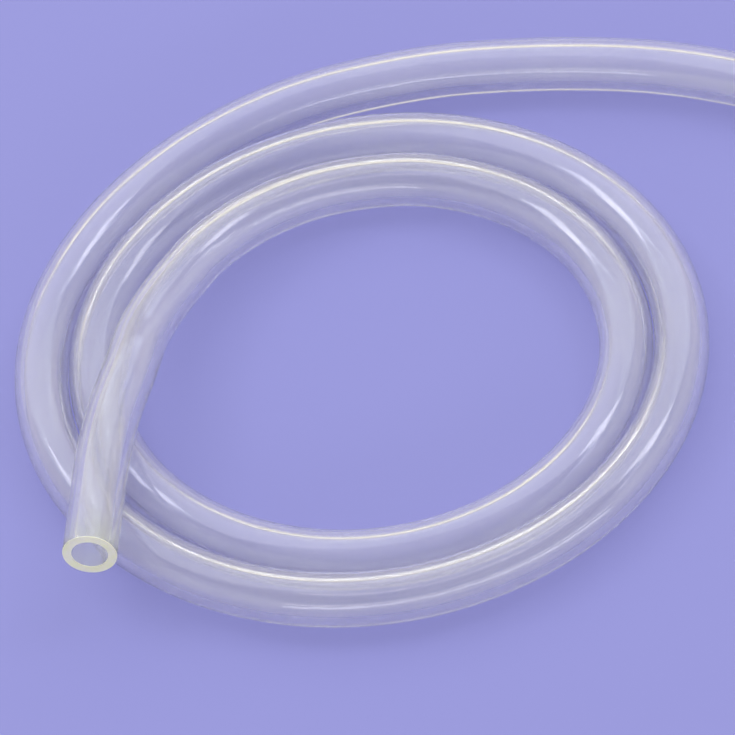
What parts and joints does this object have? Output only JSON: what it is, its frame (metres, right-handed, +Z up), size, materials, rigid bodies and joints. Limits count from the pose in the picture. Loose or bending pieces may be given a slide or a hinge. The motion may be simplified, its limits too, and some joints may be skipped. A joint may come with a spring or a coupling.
{
  "type": "silicone tubing coil",
  "caption": "Loose hank of soft clear silicone tubing, wound flat as a spiral with one cut end lifted over the turns and one free end, for carrying liquid or gas between fittings.",
  "frame": {"origin": "middle of the part's bounding box, on the surface that the coil lies on", "axes": "+Z up, away from that surface; +X towards the side that the free end leaves by; the near cut end opens towards -Y"},
  "size_m": [0.1796, 0.168, 0.0195],
  "materials": {
    "silicone": "satin"
  },
  "bodies": {
    "root": {"silicone_tube": "silicone"}
  },
  "joints": []
}
